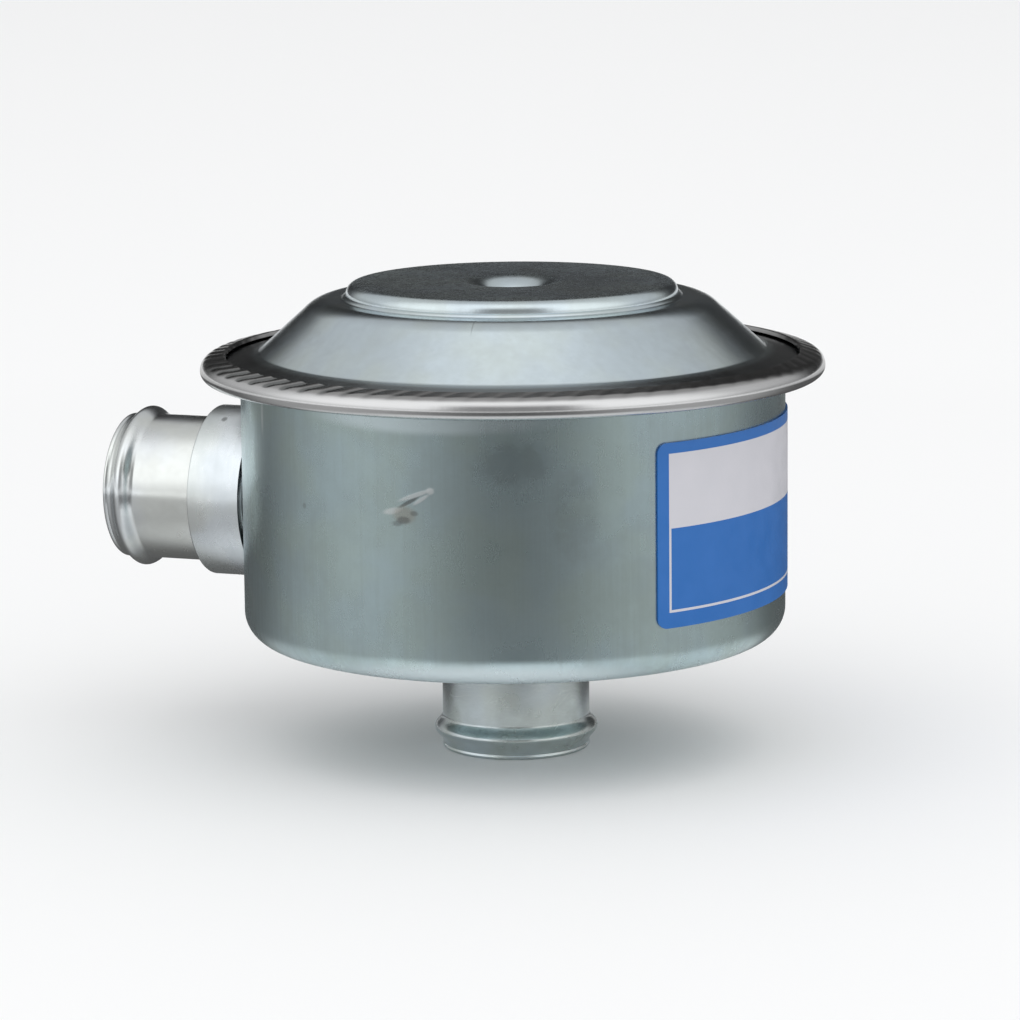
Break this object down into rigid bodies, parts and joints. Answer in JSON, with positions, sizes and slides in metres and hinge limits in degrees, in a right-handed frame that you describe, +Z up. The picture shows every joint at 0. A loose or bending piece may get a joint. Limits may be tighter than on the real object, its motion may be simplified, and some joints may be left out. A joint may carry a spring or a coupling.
{
  "type": "crankcase ventilation valve",
  "caption": "Round pressed-steel crankcase ventilation valve: crimped can, raised cover, sprung diaphragm inside, a beaded hose tube in its side and one below.",
  "frame": {"origin": "centre of the outlet tube's mouth, on the can's axis", "axes": "+Z up along the can's axis from the outlet to the cover, -X along the inlet tube, +Y completes a right-handed frame"},
  "size_m": [0.1254, 0.1068, 0.081],
  "materials": {
    "zinc_plate": "bright bluish zinc plate on drawn steel, satin",
    "zinc_cover": "bright bluish zinc plate on pressed steel",
    "tube_steel": "zinc plate on drawn steel tube",
    "collar_steel": "zinc plate on a turned collar, slightly matt",
    "plate_steel": "plain plated steel",
    "rivet_steel": "plain steel",
    "spring_steel": "drawn spring wire",
    "braze_metal": "plated braze fillet",
    "black_rubber": "fabric backed nitrile rubber",
    "label_film": "blue and white film, blank"
  },
  "bodies": {
    "housing": {"can_body": "zinc_plate", "cover": "zinc_cover", "diaphragm": "black_rubber", "main_spring": "spring_steel", "spring_seat": "plate_steel", "outlet_tube": "tube_steel", "outlet_braze": "braze_metal", "inlet_collar": "collar_steel", "inlet_tube": "tube_steel", "inlet_braze": "braze_metal", "label": "label_film"},
    "diaphragm_stack": {"piston_plate": "plate_steel", "valve_plate": "plate_steel", "centre_rivet": "rivet_steel", "rivet_washer": "rivet_steel"}
  },
  "joints": [
    {"name": "diaphragm_stroke", "type": "slide", "parent": "housing", "child": "diaphragm_stack", "axis": [0, 0, -1], "range_m": [0, 0.006], "stiffness_N_per_m": 800, "springref_m": -0.0025, "deforming": ["main_spring", "diaphragm"]}
  ]
}
